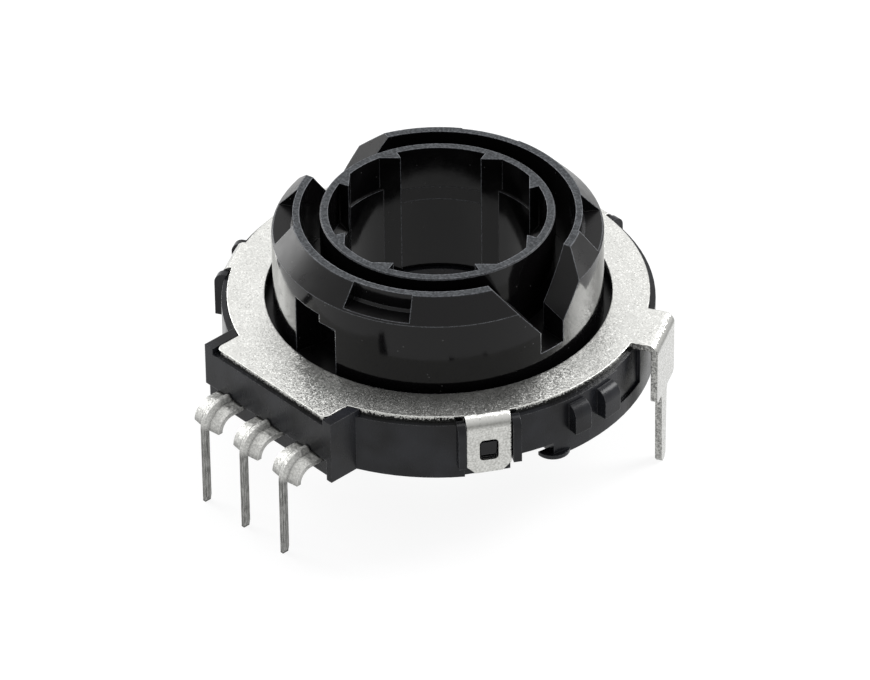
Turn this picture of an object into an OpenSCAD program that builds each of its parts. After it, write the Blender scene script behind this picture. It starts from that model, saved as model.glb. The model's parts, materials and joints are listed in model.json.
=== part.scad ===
// Hollow shaft rotary encoder for a printed board, 21 mm class.
// The shaft axis is Z and z = 0 is the board's surface under the housing.
// The terminal row faces -Y. Angles run anticlockwise from +X, seen from above.

/* [Hollow shaft] */
// Height of the shaft's rim above the board
shaft_h = 7.25; // [6:0.05:9]
// Radius of the bore at its eight ribs
bore_r = 4.26; // [3.4:0.02:5.2]
// How far the ribs stand in from the bore's grooves
rib_h = 0.45; // [0.3:0.05:0.6]
// Wall from a bore groove to the outside of the inner tube
tube_wall = 0.36; // [0.3:0.02:0.45]
// Width of the ring-shaped gap between the tube and the drive ring
ring_gap = 0.87; // [0.6:0.01:1.1]
// Width of the drive ring's flat rim
rim_w = 0.34; // [0.25:0.01:0.5]
// Width of the drive ring's conical shoulder
shoulder_w = 0.88; // [0.5:0.02:1.1]
// Height of the drive ring's conical shoulder
shoulder_h = 0.97; // [0.6:0.01:1.2]
// Height of the gap's floor above the board
gap_floor_z = 3.75; // [3.5:0.05:4.2]
// Running clearance between the tube and its bearing
bearing_clearance = 0.06; // [0.02:0.01:0.1]

/* [Housing] */
// Width of the housing outside the drive ring
housing_rim = 2.24; // [2.1:0.05:3]
// Height of the housing up to the cover plate
housing_h = 2.75; // [2.7:0.05:3.3]
// Thickness of the housing's outer wall
wall = 0.9; // [0.7:0.05:1.1]
// Thickness of the housing's floor
floor_t = 0.7; // [0.5:0.05:0.8]
// How far the housing's hole stands in from the bore's ribs
hole_step = 0.36; // [0.1:0.02:0.8]
// Width of the terminal block
block_w = 8; // [7.9:0.1:9.6]
// How far the terminal block's face stands out from the round housing
block_out = 0.55; // [0.3:0.05:1.5]

/* [Cover plate] */
// Thickness of the cover plate's sheet
sheet_t = 0.3; // [0.2:0.05:0.4]
// Gap between the drive ring and the edge of the cover's hole
cover_gap = 0.37; // [0.25:0.01:0.5]
// Width of the cover's tongue over the terminal block
tongue_w = 6.9; // [6:0.1:7.4]
// Width of each snap tab
tab_w = 1.95; // [1.4:0.05:2.2]
// Width of each mounting leg's arm
leg_w = 2.6; // [2:0.1:3]
// How far a mounting leg's outer face stands out from the round housing
leg_out = 0.85; // [0.6:0.05:1.5]
// Width of a mounting leg's pin
leg_pin_w = 0.75; // [0.6:0.05:1]

/* [Terminals] */
// Distance between neighbouring terminals
pitch = 2.5; // [2:0.1:3]
// Width of a terminal's strap
strap_w = 1.56; // [1.2:0.02:1.7]
// Thickness of a terminal's strap
strap_t = 0.3; // [0.2:0.02:0.32]
// Width of a terminal's solder pin
pin_w = 0.3; // [0.25:0.05:0.6]
// How far a solder pin's outer face stands out from the terminal block
pin_out = 1.6; // [1.5:0.05:3]
// How far the pins reach below the board's surface
pin_depth = 3.75; // [2.5:0.05:5]

/* [Inside] */
// Number of clicks in one turn
detents = 24; // [12:2:30]
// Number of contact bars in one turn
bars = 12; // [6:1:15]
// Thickness of the sheet of the contacts and the click spring
strip_t = 0.1; // [0.06:0.01:0.12]

/* [Hidden] */
$fn = 96;
eps = 0.01;
// Longer than the whole part: the size of blocks that only cut
far = 30;
// How deep a piece's features sink into its body where they join
root = 0.2;

// Radii that follow from the bore and the walls round it, from the inside out
hole_r = bore_r - hole_step;
groove_r = bore_r + rib_h;
tube_r = groove_r + tube_wall;
ring_in_r = tube_r + ring_gap;
rim_r = ring_in_r + rim_w;
ring_r = rim_r + shoulder_w;
housing_r = ring_r + housing_rim;
block_reach = housing_r + block_out;
leg_reach = housing_r + leg_out;
pin_reach = block_reach + pin_out;

// The cover plate
plate_top = housing_h + sheet_t;
cover_r = housing_r - 0.25;
cover_hole_r = ring_r + cover_gap;
tongue_reach = block_reach - 0.17;
tongue_corner = 0.3;
tab_angles = [90, 210, 330];
leg_angles = [29.5, 150.5];
bend_r = 0.15;
bend_out = bend_r + sheet_t;
tab_reach = housing_r + 0.15;
tab_seat_gap = 0.05;
tab_bottom = 0.25;
tab_chamfer = 0.38;
window_w = 0.82;
window_h = 1.05;
window_z = 1.4;
window_corner = 0.2;
leg_root_w = leg_w + 0.14;
leg_shoulder_z = 0;
leg_chamfer = 0.15;
leg_pin_shift = -0.2;
leg_neck_w = 0.1;
leg_neck_h = 0.35;
leg_taper = 0.08;
leg_tip_h = 0.22;
leg_tip_in = 0.25;

// The housing
cavity_r = housing_r - wall;
ledge_z = 1.2;
hole_lead = 0.2;
bearing_lead = 0.15;
collar_h = 1.5;
bearing_r = tube_r + bearing_clearance;
collar_w = 0.8;
collar_r = bearing_r + collar_w;
guard_w = 0.36;
guard_gap = 0.04;
guard_out = 0.38;
guard_bottom = 0.72;
guard_top = plate_top - 0.17;
guard_round = 0.45;
guard_root = 0.5;
hook_w = window_w - 0.12;
hook_z = [window_z - 0.325, window_z + 0.375, window_z + 0.465];
hook_in = [0.12, 0.05];
rim_gap = 0.05;
fin_out = 0.5;
fin_bottom = 1.15;
fin_top = housing_h - 0.25;
fin_round = 0.55;
fins = [[353.2, 358.2], [3, 8.7]];
block_step = 0.22;
block_step_end = 0.3;
lip_h = 0.75;
lip_out = 0.12;
recess = [11.2, 24];
foot_r = 0.75;
foot_h = 0.18;
foot_angle = 350.2;
foot_reach = housing_r + 0.23;
notch = [336.2, 348.5];
notch_h = 0.75;
notch_in_h = 0.45;
notch_in = 1.05;

// The hollow shaft
tube_bottom = ledge_z + 0.05;
tube_lead = 0.1;
tube_edge = 0.05;
tube_root = 0.1;
step_r = bore_r + 0.06;
step_z = 4.8;
step_chamfer = groove_r - step_r;
pad_angle = 42;
rib_angle = 10.5;
rib_run = 1.25;
panel_half = pad_angle / 2 - 1;
panel_lap = 0.5;
panel_r = groove_r - 0.09;
panel_z = 5.56;
web_bottom = collar_h + 0.9;
recess_r = ring_in_r + 0.2;
flange_r = cavity_r - 0.3;
flange_top = housing_h - 0.52;
flange_t = 0.28;
flange_bottom = flange_top - flange_t;
detent_h = 0.12;
detent_share = 0.55;
detent_root = 0.05;
detent_in = cover_hole_r + 0.08;
funnel_top = 21;
funnel_low = 5.5;
funnel_z = shaft_h - 2.28;
slot_w = 1.3;
pocket_angles = [44.5, 115];
pocket_w = 24.5;
pocket_in = 0.05;
pocket_floor = shaft_h - shoulder_h + 0.08;
port = [259, 272.2, 279.4];
port_tops = [shaft_h - 1.77, shaft_h - 2.18];
port_bottom = flange_top + 0.35;

// The terminals
strap_z = floor_t;
strap_inner = cavity_r - 1.3;
strap_bend = 0.9;
strap_edge = strap_t * 0.75;
ridge_h = 0.2;
ridge_foot = 0.1;
pin_t = 0.3;
pin_chamfer = 0.07;
pin_tip_w = 0.16;
pin_tip_l = 0.35;
pin_top = strap_z + strap_t - strap_bend;
mould_gap = 0.02;
terminal_x = [-pitch, 0, pitch];

// The contacts and the click spring
disc_t = 0.35;
disc_bottom = flange_bottom - disc_t;
disc_in_r = collar_r + 0.25;
disc_r = flange_r - 0.1;
code_in_r = disc_in_r + 0.1;
code_ring_r = code_in_r + 0.65;
code_r = disc_r - 0.15;
rivet_r = 0.3;
rivet_reach = (code_ring_r + code_r) / 2;
rivets = 3;
rivet_turn = 30;
rivet_gap = 0.02;
wiper_rise = 0.05;
finger_w = 0.28;
finger_gap = 0.14;
finger_l = 2.5;
tip_run = 0.3;
wiper_w = 0.9;
wiper_end = 0.3;
wiper_foot_r = cavity_r - 0.45;
spring_r = cavity_r - 0.06;
spring_in_r = detent_in;
spring_ear_w = 1.6;
spring_ear_r = housing_r - 0.45;
ear_gap = 0.05;
bump_r = 0.5;
bump_lap = 0.06;
bump_in = 0.05;
bump_gap = 0.04;
bump_drop = housing_h - strip_t - (flange_top + detent_h) - bump_gap;

// A point at a radius and an angle
function polar(r, a) = [r * cos(a), r * sin(a)];

// A block bounded by two radii, two angles and two heights
module sector(r0, r1, a0, a1, z0, z1)
    rotate([0, 0, a0])
        rotate_extrude(angle = a1 - a0)
            translate([r0, z0]) square([r1 - r0, z1 - z0]);

// A flat outline stood up so that its x runs along Y and its y along Z
module upright(x, t)
    translate([x, 0, 0]) rotate([90, 0, 90]) linear_extrude(t) children();

// A quarter bend of sheet, from flat to pointing down, w wide
module bend(x, w)
    translate([x - bend_out, w / 2, plate_top - bend_out])
        rotate([90, 0, 0])
            rotate_extrude(angle = 90)
                translate([bend_r, 0]) square([sheet_t, w]);

// A rectangle with round corners, centred on the origin
module round_rect(w, h, r) {
    square([w - 2 * r, h], center = true);
    square([w, h - 2 * r], center = true);
    for (x = [-1, 1], y = [-1, 1])
        translate([x * (w / 2 - r), y * (h / 2 - r)]) circle(r, $fn = 24);
}

// ---- Housing ----

// The revolved body: wall, floor, bearing collar and the ledge round the hole
module housing_body()
    rotate_extrude()
        polygon([
            [hole_r, 0], [housing_r, 0], [housing_r, housing_h], [cavity_r, housing_h],
            [cavity_r, floor_t], [collar_r, floor_t], [collar_r, collar_h],
            [bearing_r + bearing_lead, collar_h], [bearing_r, collar_h - bearing_lead],
            [bearing_r, ledge_z], [hole_r + hole_lead, ledge_z], [hole_r, ledge_z - hole_lead]
        ]);

// The block that the terminals come out of, with a stepped lower edge and a rim at either side
// of the cover's tongue
module terminal_block() {
    difference() {
        translate([-block_w / 2, -block_reach, 0]) cube([block_w, block_reach, plate_top]);
        translate([-tongue_w / 2 - rim_gap, -far, housing_h])
            cube([tongue_w + 2 * rim_gap, far, far]);
        translate([0, 0, housing_h]) cylinder(r = cover_r + rim_gap, h = far);
        translate([-far, -block_reach - far, -far])
            cube([far + block_w / 2 - block_step_end, far + block_step,
                  far + strap_z + strap_t]);
        cylinder(r = cavity_r, h = far, center = true);
    }
}

// One grip fin, its top rolled over to the outside
module fin(a0, a1)
    rotate([0, 0, a0])
        rotate_extrude(angle = a1 - a0) {
            r0 = housing_r - root;
            translate([r0, fin_bottom])
                square([fin_out + root, fin_top - fin_round - fin_bottom]);
            translate([r0, fin_bottom])
                square([fin_out + root - fin_round, fin_top - fin_bottom]);
            intersection() {
                translate([housing_r + fin_out - fin_round, fin_top - fin_round])
                    circle(fin_round, $fn = 48);
                translate([r0, fin_bottom]) square(far);
            }
        }

// A guard rib from the side: its top is rounded outwards and clears the cover's edge
module guard_outline(inner) {
    outer = housing_r + guard_out;
    translate([inner, guard_bottom]) square([outer - inner, guard_top - guard_round - guard_bottom]);
    translate([inner, guard_bottom])
        square([cover_r + rim_gap - inner, housing_h - guard_bottom]);
    translate([cover_r + rim_gap, guard_bottom])
        square([outer - guard_round - cover_r - rim_gap, guard_top - guard_bottom]);
    intersection() {
        translate([outer - guard_round, guard_top - guard_round]) circle(guard_round, $fn = 48);
        translate([outer - guard_round - eps, guard_bottom]) square(far);
    }
}

// Two guard ribs beside a snap tab, and the hook that the tab's window catches
module tab_seat(angle)
    rotate([0, 0, angle]) {
        flat = tab_reach - sheet_t - tab_seat_gap;
        for (s = [-1, 1])
            translate([0, s * (tab_w / 2 + guard_gap + guard_w / 2) + guard_w / 2, 0])
                rotate([90, 0, 0]) linear_extrude(guard_w) guard_outline(flat - guard_root);
        translate([0, hook_w / 2, 0])
            rotate([90, 0, 0])
                linear_extrude(hook_w)
                    polygon([
                        [flat - root, hook_z[0]], [tab_reach - hook_in[0], hook_z[0]],
                        [tab_reach - hook_in[1], hook_z[1]], [flat - root, hook_z[2]]
                    ]);
    }

// What is cut away behind a snap tab: a flat, chamfered at the top to clear the tab's bend
module tab_flat(angle) {
    flat = tab_reach - sheet_t - tab_seat_gap;
    w = tab_w + 2 * guard_gap;
    rotate([0, 0, angle])
        translate([0, w / 2, 0])
            rotate([90, 0, 0])
                linear_extrude(w)
                    polygon([
                        [flat, -far], [far, -far], [far, far], [flat - bend_r, far],
                        [flat - bend_r, housing_h], [flat, housing_h - bend_r]
                    ]);
}

// Half-round foot at the board, its flat side facing the axis; it spans the notch's end
module foot()
    rotate([0, 0, foot_angle])
        intersection() {
            translate([foot_reach - foot_r, 0, 0]) cylinder(r = foot_r, h = foot_h);
            translate([foot_reach - foot_r, -far / 2, -far / 2]) cube(far);
        }

// What is cut from both sides: the recess above the lip, and the notch at the board
module side_cuts() {
    sector(housing_r - lip_out, far, recess[0], recess[1], lip_h, far);
    rotate([0, 0, notch[0]])
        rotate_extrude(angle = notch[1] - notch[0])
            polygon([
                [housing_r - notch_in, -far], [far, -far], [far, notch_h],
                [housing_r, notch_h], [housing_r - notch_in, notch_in_h]
            ]);
}

module housing()
    color([0.07, 0.07, 0.075])
        difference() {
            union() {
                difference() {
                    union() {
                        housing_body();
                        terminal_block();
                        for (m = [0, 1]) mirror([m, 0, 0]) for (f = fins) fin(f[0], f[1]);
                    }
                    for (a = tab_angles) tab_flat(a);
                    for (m = [0, 1]) mirror([m, 0, 0]) side_cuts();
                }
                for (a = tab_angles) tab_seat(a);
                for (m = [0, 1]) mirror([m, 0, 0]) foot();
            }
            for (x = terminal_x)
                translate([x - strap_w / 2 - mould_gap, -far - strap_inner, strap_z - mould_gap])
                    cube([strap_w + 2 * mould_gap, far, strap_t + 2 * mould_gap]);
            translate([-spring_ear_r - ear_gap, -spring_ear_w / 2 - ear_gap, housing_h - strip_t])
                cube([2 * (spring_ear_r + ear_gap), spring_ear_w + 2 * ear_gap, far]);
        }

// ---- Cover plate ----

module cover_outline() {
    difference() {
        union() {
            circle(cover_r);
            translate([-tongue_w / 2, -tongue_reach + tongue_corner])
                square([tongue_w, tongue_reach - tongue_corner]);
            translate([-tongue_w / 2 + tongue_corner, -tongue_reach])
                square([tongue_w - 2 * tongue_corner, tongue_reach]);
            for (s = [-1, 1])
                translate([s * (tongue_w / 2 - tongue_corner), -tongue_reach + tongue_corner])
                    circle(tongue_corner);
            for (a = tab_angles)
                rotate(a) translate([0, -tab_w / 2]) square([tab_reach - bend_out, tab_w]);
            for (a = leg_angles)
                rotate(a)
                    polygon([
                        [0, -leg_root_w / 2], [leg_reach - bend_out, -leg_w / 2],
                        [leg_reach - bend_out, leg_w / 2], [0, leg_root_w / 2]
                    ]);
        }
        circle(cover_hole_r);
    }
}

// A snap tab: bent down, its lower corners cut off, with a window for the hook
module snap_tab() {
    top = plate_top - bend_out;
    bend(tab_reach, tab_w);
    upright(tab_reach - sheet_t, sheet_t)
        difference() {
            polygon([
                [-tab_w / 2, top], [-tab_w / 2, tab_bottom + tab_chamfer],
                [-tab_w / 2 + tab_chamfer, tab_bottom], [tab_w / 2 - tab_chamfer, tab_bottom],
                [tab_w / 2, tab_bottom + tab_chamfer], [tab_w / 2, top]
            ]);
            translate([0, window_z]) round_rect(window_w, window_h, window_corner);
        }
}

// A mounting leg: a wide arm down to the board, then a narrow pin through it
module mounting_leg(side) {
    top = plate_top - bend_out;
    l = side * leg_pin_shift - leg_pin_w / 2;
    r = side * leg_pin_shift + leg_pin_w / 2;
    neck_z = leg_shoulder_z - leg_neck_h;
    tip_z = leg_tip_h - pin_depth;
    bend(leg_reach, leg_w);
    upright(leg_reach - sheet_t, sheet_t)
        polygon([
            [-leg_w / 2, top], [-leg_w / 2, leg_shoulder_z + leg_chamfer],
            [-leg_w / 2 + leg_chamfer, leg_shoulder_z], [l - leg_neck_w, leg_shoulder_z],
            [l, neck_z], [l + leg_taper, tip_z], [l + leg_tip_in, -pin_depth],
            [r - leg_tip_in, -pin_depth], [r - leg_taper, tip_z], [r, neck_z],
            [r + leg_neck_w, leg_shoulder_z], [leg_w / 2 - leg_chamfer, leg_shoulder_z],
            [leg_w / 2, leg_shoulder_z + leg_chamfer], [leg_w / 2, top]
        ]);
}

module cover_plate()
    color([0.8, 0.8, 0.78]) {
        translate([0, 0, housing_h]) linear_extrude(sheet_t) cover_outline();
        for (a = tab_angles) rotate([0, 0, a]) snap_tab();
        rotate([0, 0, leg_angles[0]]) mounting_leg(1);
        rotate([0, 0, leg_angles[1]]) mounting_leg(-1);
    }

// ---- Hollow shaft ----

// The inner tube with its stepped bore
module tube()
    rotate_extrude()
        polygon([
            [groove_r, shaft_h], [groove_r, step_z + step_chamfer], [step_r, step_z],
            [step_r, tube_bottom], [tube_r - tube_lead, tube_bottom],
            [tube_r, tube_bottom + tube_lead], [tube_r, shaft_h - tube_edge],
            [tube_r - tube_edge, shaft_h]
        ]);

// The recess between two of the bore's ribs, shallow above its ledge and cut into the tube below
module panels()
    difference() {
        union() {
            tube();
            for (a = [0 : 90 : 270])
                sector(panel_r - root, groove_r + tube_root, a - panel_half - panel_lap,
                       a + panel_half + panel_lap, tube_bottom, panel_z);
        }
        for (a = [0 : 90 : 270])
            sector(0, panel_r, a - panel_half, a + panel_half, -far, far);
    }

// One rib of the bore: its flat face rises from inside the wall to the groove's edge
module rib() {
    edge = polar(bore_r, pad_angle / 2);
    root_line = polar(groove_r, pad_angle / 2 - rib_angle) - edge;
    translate([0, 0, tube_bottom])
        linear_extrude(shaft_h - tube_bottom)
            polygon([edge, polar(groove_r + root, pad_angle / 2), edge + rib_run * root_line]);
}

// The drive ring, its shoulder, the web that carries it and the flange under the cover
module ring_body()
    rotate_extrude()
        polygon([
            [tube_r - tube_root, gap_floor_z], [ring_in_r, gap_floor_z], [ring_in_r, shaft_h],
            [rim_r, shaft_h], [ring_r, shaft_h - shoulder_h], [ring_r, flange_top],
            [flange_r, flange_top], [flange_r, flange_bottom], [recess_r, flange_bottom],
            [recess_r, web_bottom], [tube_r - tube_root, web_bottom]
        ]);

// A V-shaped mouth that narrows down to a straight slot
module funnel() {
    mid = (funnel_top + funnel_low) / 2;
    mid_z = (shaft_h + funnel_z) / 2;
    mid_r = (ring_in_r + ring_r) / 2;
    spread = mid_r * (funnel_top - funnel_low) * PI / 180;
    lean = atan(spread / (shaft_h - funnel_z));
    intersection_for (m = [0, 1])
        mirror([0, m, 0])
            rotate([0, 0, mid])
                translate([0, 0, mid_z])
                    rotate([-lean, 0, 0])
                        translate([0, -far, -far / 2]) cube(far);
    translate([0, -slot_w / 2, gap_floor_z]) cube([far, slot_w, far]);
}

// A pocket cut into the conical shoulder
module pocket()
    rotate([0, 0, -pocket_w / 2])
        rotate_extrude(angle = pocket_w)
            polygon([
                [rim_r - pocket_in, pocket_floor + 2 * pocket_in], [rim_r - pocket_in, far],
                [far, far], [far, pocket_floor], [rim_r + pocket_in, pocket_floor]
            ]);

// A port through the ring's wall, its head stepped
module ring_port()
    difference() {
        sector(ring_in_r - eps, ring_r + root, port[0], port[2], port_bottom, port_tops[0]);
        sector(tube_r, far, port[1], 2 * port[2] - port[1], port_tops[1], far);
    }

module detent_ribs() {
    w = flange_r * PI / detents * detent_share;
    for (i = [0 : detents - 1])
        rotate([0, 0, (i + 0.5) * 360 / detents])
            translate([detent_in, 0, flange_top])
                rotate([90, 0, 90])
                    linear_extrude(flange_r - detent_h - detent_in)
                        polygon([[-w / 2, -detent_root], [w / 2, -detent_root], [w / 2, 0],
                                 [w / 6, detent_h], [-w / 6, detent_h], [-w / 2, 0]]);
}

module hollow_shaft()
    color([0.05, 0.05, 0.055]) {
        panels();
        for (a = [0 : 90 : 270], m = [0, 1]) rotate([0, 0, a]) mirror([0, m, 0]) rib();
        difference() {
            ring_body();
            for (s = [0, 180])
                rotate([0, 0, s]) {
                    difference() {
                        funnel();
                        cylinder(r = tube_r + root, h = far);
                    }
                    for (a = pocket_angles) rotate([0, 0, a]) pocket();
                    ring_port();
                }
        }
        detent_ribs();
        for (i = [0 : rivets - 1])
            rotate([0, 0, rivet_turn + i * 360 / rivets])
                translate([rivet_reach, 0, disc_bottom])
                    cylinder(r = rivet_r, h = flange_bottom - disc_bottom + flange_t / 2,
                             $fn = 32);
    }

// ---- Contacts ----

// Moulded disc under the flange, which carries the contact pattern
module contact_disc()
    color([0.75, 0.72, 0.62])
        difference() {
            rotate_extrude()
                translate([disc_in_r, disc_bottom])
                    square([disc_r - disc_in_r, flange_bottom - disc_bottom]);
            for (i = [0 : rivets - 1])
                rotate([0, 0, rivet_turn + i * 360 / rivets])
                    translate([rivet_reach, 0, 0])
                        cylinder(r = rivet_r + rivet_gap, h = far, $fn = 32);
        }

// Stamped pattern: a common ring with one bar for each pulse
module contact_pattern()
    color([0.85, 0.75, 0.45])
        translate([0, 0, disc_bottom - strip_t])
            linear_extrude(strip_t) {
                difference() {
                    circle(code_ring_r);
                    circle(code_in_r);
                }
                intersection() {
                    difference() {
                        circle(code_r);
                        circle(code_ring_r - root);
                    }
                    for (i = [0 : bars - 1])
                        rotate(i * 360 / bars)
                            polygon([
                                [0, 0], [far * cos(90 / bars), -far * sin(90 / bars)],
                                [far * cos(90 / bars), far * sin(90 / bars)]
                            ]);
                }
            }

// Ring of spring sheet under the cover, with two bumps that ride the flange's ribs
module click_spring() {
    bump_w = 2 * sqrt(bump_r * bump_r - (bump_r - bump_drop) * (bump_r - bump_drop));
    z0 = housing_h - strip_t;
    color([0.75, 0.68, 0.5]) {
        difference() {
            union() {
                translate([0, 0, z0])
                    linear_extrude(strip_t)
                        difference() {
                            circle(spring_r);
                            circle(spring_in_r);
                        }
                for (s = [0, 180])
                    rotate([0, 0, s])
                        translate([spring_r - root, -spring_ear_w / 2, z0])
                            cube([spring_ear_r - spring_r + root, spring_ear_w, strip_t]);
            }
            for (s = [90, 270])
                rotate([0, 0, s])
                    translate([0, bump_lap - bump_w / 2, -far / 2])
                        cube([far, bump_w - 2 * bump_lap, far]);
        }
        for (s = [90, 270])
            rotate([0, 0, s])
                intersection() {
                    upright(spring_in_r + bump_in, spring_r - spring_in_r - 2 * bump_in)
                        difference() {
                            translate([0, z0 - bump_drop + bump_r]) circle(bump_r);
                            translate([0, z0 - bump_drop + bump_r]) circle(bump_r - strip_t);
                        }
                    translate([0, -far / 2, z0 + strip_t - far]) cube(far);
                }
    }
}

// ---- Terminals ----

// The strap's cross-section inside the terminal block: a low roof
module strap_roof()
    polygon([
        [-strap_w / 2, 0], [strap_w / 2, 0], [strap_w / 2, strap_edge],
        [pin_w / 2 + ridge_foot, strap_t], [-pin_w / 2 - ridge_foot, strap_t],
        [-strap_w / 2, strap_edge]
    ]);

// The same outside the block, with the ridge along the middle that becomes the pin
module strap_section()
    polygon([
        [-strap_w / 2, 0], [strap_w / 2, 0], [strap_w / 2, strap_edge],
        [pin_w / 2 + ridge_foot, strap_t], [pin_w / 2, strap_t + ridge_h - pin_chamfer],
        [pin_w / 2 - pin_chamfer, strap_t + ridge_h], [pin_chamfer - pin_w / 2, strap_t + ridge_h],
        [-pin_w / 2, strap_t + ridge_h - pin_chamfer], [-pin_w / 2 - ridge_foot, strap_t],
        [-strap_w / 2, strap_edge]
    ]);

// The solder pin's outline from the front, its tip drawn in
module pin_outline()
    polygon([
        [-pin_w / 2, pin_top + eps], [-pin_w / 2, pin_tip_l - pin_depth],
        [-pin_tip_w / 2, -pin_depth], [pin_tip_w / 2, -pin_depth],
        [pin_w / 2, pin_tip_l - pin_depth], [pin_w / 2, pin_top + eps]
    ]);

module terminal(x)
    color([0.82, 0.82, 0.82])
        translate([x, 0, 0]) {
            face = block_reach + mould_gap;
            bend_y = pin_reach - ridge_h - strap_bend;
            inner_bend = strap_bend - strap_t;
            translate([0, -strap_inner, strap_z])
                rotate([90, 0, 0]) linear_extrude(face - strap_inner) strap_roof();
            translate([0, -face, strap_z])
                rotate([90, 0, 0]) linear_extrude(bend_y - face) strap_section();
            translate([0, -bend_y, pin_top])
                rotate([90, 0, -90])
                    rotate_extrude(angle = 90)
                        rotate(-90) translate([0, inner_bend]) strap_section();
            intersection() {
                translate([0, -pin_reach + pin_t, 0])
                    rotate([90, 0, 0]) linear_extrude(pin_t) pin_outline();
                translate([0, -pin_reach + pin_t / 2, -far / 2])
                    linear_extrude(far)
                        polygon([
                            [-pin_w / 2, pin_t / 2], [-pin_w / 2, pin_chamfer - pin_t / 2],
                            [pin_chamfer - pin_w / 2, -pin_t / 2],
                            [pin_w / 2 - pin_chamfer, -pin_t / 2],
                            [pin_w / 2, pin_chamfer - pin_t / 2], [pin_w / 2, pin_t / 2]
                        ]);
            }
        }

module terminal_a() terminal(terminal_x[0]);
module terminal_common() terminal(terminal_x[1]);
module terminal_b() terminal(terminal_x[2]);

// A pair of springy fingers on a foot; they rise from the foot to the contact pattern
module wiper(x, r_touch, side) {
    z0 = strap_z + strap_t;
    z1 = disc_bottom - strip_t - wiper_rise;
    start = wiper_w / 2 - eps;
    knee = wiper_w / 2 + strip_t;
    inner = r_touch - finger_w - finger_gap / 2;
    color([0.85, 0.7, 0.4])
        rotate([0, 0, -acos(x / wiper_foot_r)]) {
            translate([inner, -wiper_w / 2, z0])
                cube([wiper_foot_r + wiper_end - inner, wiper_w, strip_t]);
            for (k = [0, 1])
                translate([inner + k * (finger_w + finger_gap), 0, 0])
                    rotate([90, 0, 90])
                        linear_extrude(finger_w)
                            scale([side, 1])
                                polygon([
                                    [start, z0], [knee, z0], [finger_l - tip_run, z1 - strip_t],
                                    [finger_l, z1 - 2 * strip_t], [finger_l + strip_t, z1 - strip_t],
                                    [finger_l - tip_run / 2, z1], [finger_l - tip_run - strip_t, z1],
                                    [knee, z0 + strip_t], [start, z0 + strip_t]
                                ]);
        }
}

wiper_bar_r = (code_ring_r + code_r) / 2;
wiper_ring_r = (code_in_r + code_ring_r) / 2;

module wiper_a() wiper(terminal_x[0], wiper_bar_r, -1);
module wiper_common() wiper(terminal_x[1], wiper_ring_r, 1);
module wiper_b() wiper(terminal_x[2], wiper_bar_r, 1);

housing();
cover_plate();
hollow_shaft();
contact_disc();
contact_pattern();
click_spring();
terminal_a();
terminal_common();
terminal_b();
wiper_a();
wiper_common();
wiper_b();
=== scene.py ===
import json
from math import cos, radians, sin

import bpy
from mathutils import Matrix, Vector


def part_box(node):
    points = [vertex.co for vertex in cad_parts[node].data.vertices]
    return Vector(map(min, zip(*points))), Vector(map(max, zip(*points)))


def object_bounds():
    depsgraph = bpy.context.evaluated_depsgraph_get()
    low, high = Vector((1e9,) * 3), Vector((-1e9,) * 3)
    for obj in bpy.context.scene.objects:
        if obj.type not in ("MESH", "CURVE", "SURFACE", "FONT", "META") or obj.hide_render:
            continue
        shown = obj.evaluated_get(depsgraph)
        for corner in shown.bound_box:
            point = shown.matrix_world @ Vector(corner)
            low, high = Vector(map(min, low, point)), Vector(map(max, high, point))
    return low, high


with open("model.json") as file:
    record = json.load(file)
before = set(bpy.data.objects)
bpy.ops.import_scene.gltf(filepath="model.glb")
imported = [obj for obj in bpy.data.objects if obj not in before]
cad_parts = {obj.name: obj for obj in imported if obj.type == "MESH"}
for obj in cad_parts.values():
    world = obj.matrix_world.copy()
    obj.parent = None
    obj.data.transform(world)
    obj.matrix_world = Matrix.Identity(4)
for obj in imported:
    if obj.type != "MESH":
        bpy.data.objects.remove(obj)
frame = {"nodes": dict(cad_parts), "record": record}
cad_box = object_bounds()

MM = 0.001

# Heights in millimetres: the shaft's rims, and the cover's flat, from which its tabs bend down
RIM_Z = cad_box[1].z / MM
BEND_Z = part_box("cover_plate")[1].z / MM

# ---- Camera: the photo's angle, a long lens from well away ----
CAMERA_AZIMUTH = radians(47.5)
CAMERA_ELEVATION = radians(36.4)
CAMERA_ROLL = radians(-0.69)
CAMERA_DISTANCE = 311.3 * MM
CAMERA_LENS = 297.9
CAMERA_SENSOR = 36
CAMERA_CLIP = (0.01, 10)
# How far the camera is shifted to its right and up
CAMERA_OFFSET = (-0.147 * MM, -2.184 * MM)


def add_camera():
    """A camera that looks at the middle of the cover plate's top, then is shifted."""
    target = Vector((0, 0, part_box("cover_plate")[1].z))
    turn = Matrix.Rotation(CAMERA_AZIMUTH, 3, "Z")
    back = turn @ Vector((0, -cos(CAMERA_ELEVATION), sin(CAMERA_ELEVATION)))
    level = turn @ Vector((1, 0, 0))
    upright = back.cross(level)
    right = cos(CAMERA_ROLL) * level + sin(CAMERA_ROLL) * upright
    up = cos(CAMERA_ROLL) * upright - sin(CAMERA_ROLL) * level
    place = target + CAMERA_DISTANCE * back + CAMERA_OFFSET[0] * right + CAMERA_OFFSET[1] * up
    data = bpy.data.cameras.new("camera")
    data.lens = CAMERA_LENS
    data.sensor_width = CAMERA_SENSOR
    data.clip_start, data.clip_end = CAMERA_CLIP
    camera = bpy.data.objects.new("camera", data)
    facing = Matrix((right, up, back)).transposed().to_4x4()
    camera.matrix_world = Matrix.Translation(place) @ facing
    bpy.context.scene.collection.objects.link(camera)
    bpy.context.scene.camera = camera


# ---- Node helpers ----
# Rays with which a shader feels for edges and corners
EDGE_SAMPLES = 6
# Cosine of the angle between the rounded and the true normal, where an edge starts and is full
EDGE_TURN = (0.99, 0.90)
# Openness from which a corner counts as an outer edge, and how many radii away that is felt
EDGE_OPEN = (0.80, 0.95)
EDGE_REACH = 3
# The random value of a cell above which it holds a speck
SPECK_CHOSEN = (0.50, 0.52)
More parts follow.
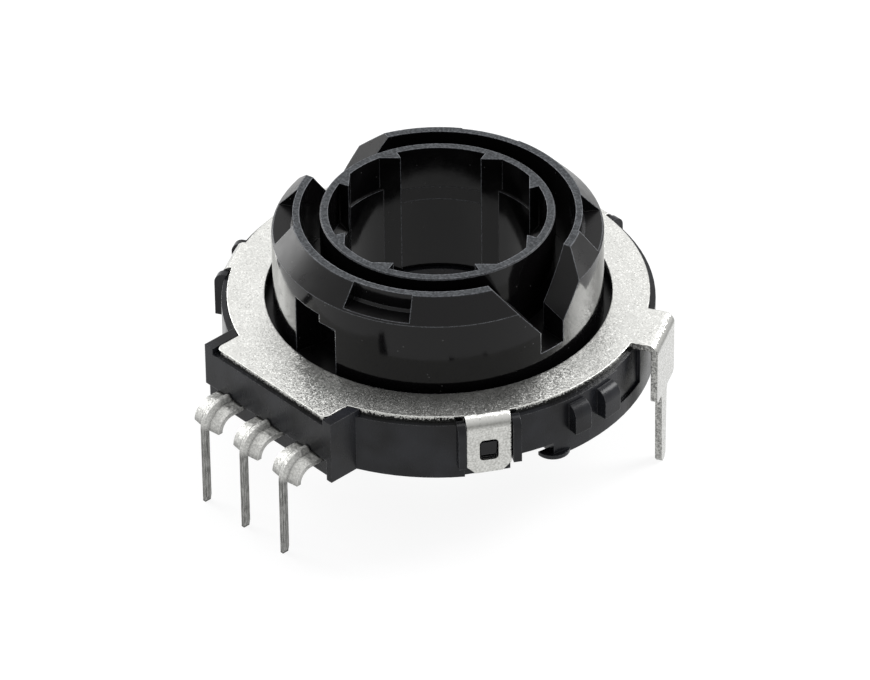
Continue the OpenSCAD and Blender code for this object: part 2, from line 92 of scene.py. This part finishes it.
# Noise lies round 0.5. These are the values that a blend is spread over, softer or crisper.
SOFT = (0.30, 0.70)
MOTTLED = (0.35, 0.65)
CRISP = (0.40, 0.60)


class Nodes:
    """A short way to write a node tree: n("Type", {input: value}, setting=value) adds a node."""

    def __init__(self, tree):
        self.tree = tree
        tree.nodes.clear()

    def __call__(self, kind, inputs=None, **settings):
        node = self.tree.nodes.new("ShaderNode" + kind)
        for name, value in settings.items():
            setattr(node, name, value)
        for name, value in (inputs or {}).items():
            self.put(value, node.inputs[name])
        return node

    def put(self, value, socket):
        """Links an output to this input, or writes a plain value into it."""
        if isinstance(value, bpy.types.NodeSocket):
            self.tree.links.new(value, socket)
        else:
            socket.default_value = value

    # Sums and blends

    def maths(self, operation, first, second):
        return self("Math", {0: first, 1: second}, operation=operation).outputs[0]

    def times(self, first, second):
        return self.maths("MULTIPLY", first, second)

    def add(self, first, second):
        return self.maths("ADD", first, second)

    def span(self, value, low, high, out_low=0.0, out_high=1.0):
        """Maps value from low..high to out_low..out_high, and holds it there."""
        return self("MapRange", {"Value": value, "From Min": low, "From Max": high,
                                 "To Min": out_low, "To Max": out_high}).outputs["Result"]

    def mix(self, data_type, ending, factor, first, second):
        """A Mix node. Its sockets share names, so they are found by identifier."""
        node = self("Mix", data_type=data_type)
        sockets = {socket.identifier: socket for socket in node.inputs}
        self.put(factor, sockets["Factor_Float"])
        self.put(first, sockets["A_" + ending])
        self.put(second, sockets["B_" + ending])
        return next(s for s in node.outputs if s.identifier == "Result_" + ending)

    def blend(self, factor, first, second):
        """A colour between first and second."""
        return self.mix("RGBA", "Color", factor, first, second)

    def blend_value(self, factor, first, second):
        """A number between first and second."""
        return self.mix("FLOAT", "Float", factor, first, second)

    # Where a point is, and which way its face looks

    def in_mm(self, stretch=(1, 1, 1)):
        """Object coordinates in millimetres, each axis times stretch."""
        place = self("TexCoord").outputs["Object"]
        scale = [s / MM for s in stretch]
        return self("Mapping", {"Vector": place, "Scale": scale}).outputs["Vector"]

    def height(self):
        """Millimetres above the frame's origin."""
        return self("SeparateXYZ", {"Vector": self.in_mm()}).outputs["Z"]

    def facing_up(self):
        """1 on a face that looks straight up, 0 on a wall, -1 underneath."""
        normal = self("TexCoord").outputs["Normal"]
        return self("SeparateXYZ", {"Vector": normal}).outputs["Z"]

    def facing_out(self):
        """1 on a wall that looks straight out from the axis or in to it, 0 on one edge-on to it."""
        place = self("TexCoord")
        level = (1, 1, 0)
        out = self("VectorMath", {0: place.outputs["Object"], 1: level}, operation="MULTIPLY")
        out = self("VectorMath", {0: out.outputs["Vector"]}, operation="NORMALIZE")
        facing = self("VectorMath", {0: out.outputs["Vector"], 1: place.outputs["Normal"]},
                      operation="DOT_PRODUCT")
        return self("Math", {0: facing.outputs["Value"]}, operation="ABSOLUTE").outputs[0]

    # Edges

    def round_edges(self, radius_mm):
        """Normals as if each edge had that radius."""
        return self("Bevel", {"Radius": radius_mm * MM}, samples=EDGE_SAMPLES).outputs["Normal"]

    def openness(self, reach_mm):
        """1 where nothing stands within that reach, lower in inner corners."""
        reach = {"Distance": reach_mm * MM}
        return self("AmbientOcclusion", reach, samples=EDGE_SAMPLES).outputs["AO"]

    def edges(self, radius_mm):
        """1 on an outer edge, fading to 0 that far from it. An inner corner stays 0."""
        soft = self.round_edges(radius_mm)
        hard = self("NewGeometry").outputs["Normal"]
        facing = self("VectorMath", {0: soft, 1: hard}, operation="DOT_PRODUCT").outputs["Value"]
        outer = self.span(self.openness(EDGE_REACH * radius_mm), *EDGE_OPEN)
        return self.times(self.span(facing, *EDGE_TURN), outer)

    # Surface detail

    def noise(self, per_mm, detail=3, rough=0.6, stretch=(1, 1, 1)):
        """Noise of that many features a millimetre, from 0 to 1."""
        return self("TexNoise", {"Vector": self.in_mm(stretch), "Scale": per_mm,
                                 "Detail": detail, "Roughness": rough}).outputs["Fac"]

    def specks(self, per_mm, size_mm):
        """1 on sparse round specks of that size, one in about every second cell."""
        cells = self("TexVoronoi", {"Vector": self.in_mm(), "Scale": per_mm})
        size = size_mm * per_mm
        near = self.span(cells.outputs["Distance"], size, 0.5 * size)
        return self.times(near, self.span(cells.outputs["Color"], *SPECK_CHOSEN))

    def bump(self, height, depth_mm, normal):
        """Normals of a relief that deep on top of the given normals."""
        return self("Bump", {"Height": height, "Distance": depth_mm * MM, "Strength": 1,
                             "Normal": normal}).outputs["Normal"]

    def facets(self, per_mm, tilt, normal):
        """Normals of a crystal grain, so many cells a millimetre, each leaning its own way."""
        cells = self("TexVoronoi", {"Vector": self.in_mm(), "Scale": per_mm})
        middle = (0.5, 0.5, 0.5)
        lean = self("VectorMath", {0: cells.outputs["Color"], 1: middle}, operation="SUBTRACT")
        lean = self("VectorMath", {0: lean.outputs["Vector"], "Scale": 2 * tilt}, operation="SCALE")
        tilted = self("VectorMath", {0: normal, 1: lean.outputs["Vector"]}, operation="ADD")
        unit = self("VectorMath", {0: tilted.outputs["Vector"]}, operation="NORMALIZE")
        return unit.outputs["Vector"]


def new_material(name):
    material = bpy.data.materials.new(name)
    material.use_nodes = True
    return material, Nodes(material.node_tree)


def finish_material(material, n, inputs):
    shader = n("BsdfPrincipled", inputs)
    n("OutputMaterial", {"Surface": shader.outputs["BSDF"]})
    return material


# ---- Tin-plated sheet ----
TIN_FLAT = ((0.67, 0.67, 0.645, 1), (0.71, 0.71, 0.685, 1))
TIN_FLECK = (0.40, 0.40, 0.38, 1)
# Painted shade: faces that look sideways get a darker copy of the tin, mottled by real scores
TIN_SIDE_SHADED = ((0.40, 0.40, 0.38, 1), (0.62, 0.62, 0.595, 1))
TIN_UNDER_BEND = (0.17, 0.17, 0.16, 1)
TIN_TORN = ((0.14, 0.14, 0.135, 1), (0.48, 0.48, 0.46, 1))
TIN_ROUGHNESS = (0.05, 0.11)
# How much rougher a sheared edge is, and how strong the colour of the darker band under the bend is
TORN_ROUGHNESS = 0.25
UNDER_BEND_SHARE = 0.75
# Noise above which a fleck shows
FLECK_FROM = (0.66, 0.72)
# facing_up from a side, painted darker as painted shade, to the flat, and facing_out from a side's
# face to its sheared edge
FLAT_FROM = (0.3, 0.9)
SHEARED_FROM = (0.55, 0.35)
# Heights over which the darker band starts under the bend and ends at the cover's flat
UNDER_BEND_LOW = (BEND_Z - 0.55, BEND_Z - 0.35)
UNDER_BEND_HIGH = (BEND_Z, BEND_Z - 0.15)


def plated_steel():
    """Tin-plated sheet. Its flat is bright, with fine pits that sparkle beside dark reflections.
    Where it is bent down its colour is painted darker, as painted shade, with a darker band just
    under the bend, and its sheared edges are dull and torn."""
    material, n = new_material("plated_steel")
    pits = n.noise(per_mm=11, detail=4, rough=0.7)
    clouds = n.noise(per_mm=0.8, detail=4)
    scores = n.noise(per_mm=11, detail=2)
    fleck = n.span(n.noise(per_mm=13, detail=1, rough=0.5), *FLECK_FROM)
    top = n.blend(n.span(clouds, *SOFT), *TIN_FLAT)
    top = n.blend(fleck, top, TIN_FLECK)
    # Painted shade: the sides are darker than the flat, streaked by scores
    side = n.blend(n.span(scores, *MOTTLED), *TIN_SIDE_SHADED)
    # A darker band just under the bend
    under_bend = n.times(n.span(n.height(), *UNDER_BEND_LOW), n.span(n.height(), *UNDER_BEND_HIGH))
    side = n.blend(n.times(under_bend, UNDER_BEND_SHARE), side, TIN_UNDER_BEND)
    sheared = n.span(n.facing_out(), *SHEARED_FROM)
    side = n.blend(sheared, side, n.blend(n.span(pits, *CRISP), *TIN_TORN))
    roughness = n.add(n.span(clouds, *SOFT, *TIN_ROUGHNESS), n.times(sheared, TORN_ROUGHNESS))
    normal = n.bump(pits, depth_mm=0.0016, normal=n.round_edges(radius_mm=0.06))
    return finish_material(material, n, {
        "Base Color": n.blend(n.span(n.facing_up(), *FLAT_FROM), side, top),
        "Metallic": 1.0,
        "Roughness": roughness,
        "Normal": n.facets(per_mm=22, tilt=0.12, normal=normal),
    })


# ---- Shaft's plastic ----
ROTOR_BLACK = (0.0035, 0.0033, 0.0036, 1)
ROTOR_DUST = (0.07, 0.07, 0.07, 1)
ROTOR_RIM = ((0.018, 0.020, 0.023, 1), (0.090, 0.096, 0.104, 1))
# Painted highlight on the outer edges
ROTOR_EDGE_HIGHLIGHT = (0.27, 0.28, 0.30, 1)
WALL_ROUGHNESS = (0.08, 0.14)
CHAMFER_ROUGHNESS = (0.26, 0.34)
# How much rougher a rim is
RIM_ROUGHNESS = 0.25
# facing_up from a wall to a chamfer, and heights between which a rim starts
CHAMFER_FROM = (0.15, 0.45)
RIM_FROM = (RIM_Z - 0.04, RIM_Z - 0.01)
# Noise over which a rim goes from dark to pale
RIM_MOTTLE = (0.42, 0.66)
# Noise over which an edge's painted highlight goes from little to full, and how strong those are
ROTOR_HIGHLIGHT_SPREAD = (0.38, 0.56)
ROTOR_HIGHLIGHT_SHARE = (0.4, 1)


def rotor_plastic():
    """Black moulding, glossy on its walls and satin on its chamfers, with specks of dust. Its
    rims are paler and rougher, and its edges are painted paler as a painted highlight."""
    material, n = new_material("rotor_plastic")
    peel = n.noise(per_mm=1.8)
    fine_noise = n.noise(per_mm=9, rough=0.7)
    rim = n.span(n.height(), *RIM_FROM)
    # Painted highlight: outer edges painted paler, broken up by noise
    edge_highlight = n.times(n.edges(radius_mm=0.07), n.span(fine_noise, *ROTOR_HIGHLIGHT_SPREAD, *ROTOR_HIGHLIGHT_SHARE))
    colour = n.blend(n.specks(per_mm=2.4, size_mm=0.04), ROTOR_BLACK, ROTOR_DUST)
    colour = n.blend(rim, colour, n.blend(n.span(fine_noise, *RIM_MOTTLE), *ROTOR_RIM))
    colour = n.blend(edge_highlight, colour, ROTOR_EDGE_HIGHLIGHT)
    gloss = n.blend_value(n.span(n.facing_up(), *CHAMFER_FROM),
                          n.span(peel, *SOFT, *WALL_ROUGHNESS),
                          n.span(peel, *SOFT, *CHAMFER_ROUGHNESS))
    return finish_material(material, n, {
        "Base Color": colour,
        "Roughness": n.add(gloss, n.times(rim, RIM_ROUGHNESS)),
        "Specular IOR Level": 0.22,
        "Normal": n.bump(peel, depth_mm=0.0015, normal=n.round_edges(radius_mm=0.045)),
    })


# ---- Case's plastic ----
CASE_BLACK = ((0.003, 0.003, 0.004, 1), (0.017, 0.018, 0.022, 1))
# Painted highlight on the outer edges
CASE_EDGE_HIGHLIGHT = (0.10, 0.10, 0.105, 1)
CASE_ROUGHNESS = (0.20, 0.34)
# Noise over which an edge's painted highlight goes from little to full, and how strong those are
CASE_HIGHLIGHT_SPREAD = (0.38, 0.60)
CASE_HIGHLIGHT_SHARE = (0.2, 1)


def case_plastic():
    """Satin black moulding: a fine spark-eroded texture with faint flow marks, and outer edges
    painted paler as a painted highlight.
    """
    material, n = new_material("case_plastic")
    grain = n.noise(per_mm=11, detail=2)
    flow = n.noise(per_mm=1.1, detail=4, stretch=(1, 1, 0.35))
    clouds = n.noise(per_mm=0.45, detail=2)
    # Painted highlight: outer edges painted paler, broken up by grain
    edge_highlight = n.times(n.edges(radius_mm=0.045), n.span(grain, *CASE_HIGHLIGHT_SPREAD, *CASE_HIGHLIGHT_SHARE))
    colour = n.blend(n.span(clouds, *MOTTLED), *CASE_BLACK)
    return finish_material(material, n, {
        "Base Color": n.blend(edge_highlight, colour, CASE_EDGE_HIGHLIGHT),
        "Roughness": n.span(flow, *SOFT, *CASE_ROUGHNESS),
        "Specular IOR Level": 0.23,
        "Normal": n.bump(grain, depth_mm=0.004, normal=n.round_edges(radius_mm=0.05)),
    })


# ---- Terminals' metal ----
STRAP_METAL = ((0.36, 0.36, 0.345, 1), (0.60, 0.60, 0.58, 1))
# Painted shade: the pins get a darker copy of the strap's metal
PIN_METAL_SHADED = ((0.12, 0.12, 0.115, 1), (0.30, 0.30, 0.29, 1))
# Painted highlight on the outer edges
TERMINAL_EDGE_HIGHLIGHT = (0.80, 0.80, 0.78, 1)
# Painted shade in creases and inner corners
TERMINAL_CREASE_SHADE = (0.10, 0.10, 0.095, 1)
TERMINAL_ROUGHNESS = (0.46, 0.58)
# How strong the painted edge highlight is
TERMINAL_HIGHLIGHT_SHARE = 0.7
# Millimetres of height over which the pin's darker metal, painted shade, gives way to the strap's
STRAP_FROM = (0.0, 0.4)
# Noise over which a drawn pin goes from dark to bright
PIN_DRAWN = (0.38, 0.62)
# Openness below which painted shade darkens an inner corner or crease
CREASE_SHADE_FROM = (0.97, 0.80)


def terminal_metal():
    """Plated strip with a fine crystal grain, painted shade in its creases and a painted highlight
    on its edges, its pins painted darker as painted shade and drawn lengthwise."""
    material, n = new_material("terminal_metal")
    mottle = n.noise(per_mm=14)
    drawn = n.noise(per_mm=14, stretch=(1, 1, 0.15))
    strap = n.blend(n.span(mottle, *MOTTLED), *STRAP_METAL)
    # Painted shade: pins darker than the strap, streaked lengthwise
    pin = n.blend(n.span(drawn, *PIN_DRAWN), *PIN_METAL_SHADED)
    colour = n.blend(n.span(n.height(), *STRAP_FROM), pin, strap)
    # Painted highlight: outer edges painted bright
    colour = n.blend(n.times(n.edges(radius_mm=0.04), TERMINAL_HIGHLIGHT_SHARE), colour, TERMINAL_EDGE_HIGHLIGHT)
    # Painted shade: inner corners and creases painted dark where they are closed in
    colour = n.blend(n.span(n.openness(reach_mm=0.12), *CREASE_SHADE_FROM), colour, TERMINAL_CREASE_SHADE)
    normal = n.bump(mottle, depth_mm=0.004, normal=n.round_edges(radius_mm=0.03))
    return finish_material(material, n, {
        "Base Color": colour,
        "Metallic": 1.0,
        "Roughness": n.span(mottle, *SOFT, *TERMINAL_ROUGHNESS),
        "Normal": n.facets(per_mm=14, tilt=0.12, normal=normal),
    })


# ---- The hidden pieces ----
CONTACT_METAL = ((0.80, 0.58, 0.26, 1), (0.90, 0.70, 0.36, 1))
SPRING_METAL = ((0.62, 0.50, 0.33, 1), (0.74, 0.62, 0.44, 1))
ROLLED_ROUGHNESS = (0.22, 0.34)
DISC_BEIGE = ((0.50, 0.45, 0.33, 1), (0.60, 0.55, 0.42, 1))


def sprung_metal(name, colours):
    """Rolled copper-alloy strip, its rolling marks along X."""
    material, n = new_material(name)
    rolled = n.noise(per_mm=3, stretch=(0.2, 2, 1))
    return finish_material(material, n, {
        "Base Color": n.blend(n.span(rolled, *SOFT), *colours),
        "Metallic": 1.0,
        "Roughness": n.span(rolled, *SOFT, *ROLLED_ROUGHNESS),
        "Normal": n.bump(rolled, depth_mm=0.002, normal=n.round_edges(radius_mm=0.02)),
    })


def disc_plastic():
    """Natural-coloured moulding of the contact disc."""
    material, n = new_material("disc_plastic")
    grain = n.noise(per_mm=8, detail=2)
    clouds = n.noise(per_mm=0.8)
    return finish_material(material, n, {
        "Base Color": n.blend(n.span(clouds, *SOFT), *DISC_BEIGE),
        "Roughness": 0.5,
        "Normal": n.bump(grain, depth_mm=0.004, normal=n.round_edges(radius_mm=0.03)),
    })


def dress(nodes):
    """Gives every CAD node its material."""
    looks = {
        "plated_steel": plated_steel(),
        "rotor_plastic": rotor_plastic(),
        "case_plastic": case_plastic(),
        "terminal_metal": terminal_metal(),
        "disc_plastic": disc_plastic(),
        "contact_metal": sprung_metal("contact_metal", CONTACT_METAL),
        "spring_metal": sprung_metal("spring_metal", SPRING_METAL),
    }
    for part in frame["record"]["subparts"]:
        node = nodes[part["node"]]
        node.data.materials.clear()
        node.data.materials.append(looks[part["material_slot"]])


# ---- Studio ----
WHITE = (1, 1, 1, 1)
FLOOR_WHITE = 0.86
FLOOR_REACH = 3.0
# How much of the lit floor is seen, and the white that is added to it where it is seen
SHADOW_SHARE = 0.2
FLOOR_GLOW = 0.89
# The world where it only lights
FILL_COLOUR = (0.97, 0.98, 1, 1)
FILL_STRENGTH = 0.42
# Name, azimuth and elevation in degrees, distance, width and height in metres, power in watts.
# Azimuth 0 is in front of the terminals.
SOFTBOXES = (
    ("left", 279, 20, 0.35, 0.20, 0.28, 1.05),
    ("back", 228, 68, 0.40, 0.22, 0.22, 0.25),
    ("right", 160, 38, 0.40, 0.16, 0.20, 1.15),
)


def seen_directly(n):
    """1 for rays that show the background: from the camera, and by way of gloss or glass."""
    path = n("LightPath").outputs
    either = n.maths("MAXIMUM", path["Is Camera Ray"], path["Is Glossy Ray"])
    return n.maths("MAXIMUM", either, path["Is Transmission Ray"])


def add_floor(level):
    """A plain pale floor under the pins. It shows as white and keeps the object's soft shadow."""
    bpy.ops.mesh.primitive_plane_add(size=2 * FLOOR_REACH, location=(0, 0, level))
    floor = bpy.context.object
    floor.name = "floor"
    material, n = new_material("floor")
    seen = seen_directly(n)
    albedo = n.span(seen, 0, 1, FLOOR_WHITE, FLOOR_WHITE * SHADOW_SHARE)
    lit = n("BsdfDiffuse", {"Color": albedo})
    white = n("Emission", {"Color": WHITE, "Strength": n.times(seen, FLOOR_GLOW)})
    both = n("AddShader", {0: lit.outputs[0], 1: white.outputs[0]})
    n("OutputMaterial", {"Surface": both.outputs[0]})
    floor.data.materials.append(material)


def add_world():
    """White where it is seen, and a softer fill where it only lights."""
    world = bpy.data.worlds.new("studio")
    world.use_nodes = True
    bpy.context.scene.world = world
    n = Nodes(world.node_tree)
    fill = n("Background", {"Color": FILL_COLOUR, "Strength": FILL_STRENGTH})
    white = n("Background", {"Color": WHITE, "Strength": 1})
    both = n("MixShader", {"Fac": seen_directly(n), 1: fill.outputs[0], 2: white.outputs[0]})
    n("OutputWorld", {"Surface": both.outputs[0]})


def add_softbox(name, azimuth, elevation, distance, width, height, power):
    """An area light, aimed at the object."""
    data = bpy.data.lights.new(name, "AREA")
    data.shape = "RECTANGLE"
    data.size = width
    data.size_y = height
    data.energy = power
    turn = Matrix.Rotation(radians(azimuth), 3, "Z")
    back = turn @ Vector((0, -cos(radians(elevation)), sin(radians(elevation))))
    light = bpy.data.objects.new(name, data)
    light.location = distance * back
    light.rotation_euler = back.to_track_quat("Z", "Y").to_euler()
    bpy.context.scene.collection.objects.link(light)


def add_studio():
    add_floor(cad_box[0].z)
    add_world()
    for softbox in SOFTBOXES:
        add_softbox(*softbox)
    bpy.context.scene.view_settings.view_transform = "Standard"


add_camera()
dress(frame["nodes"])
add_studio()
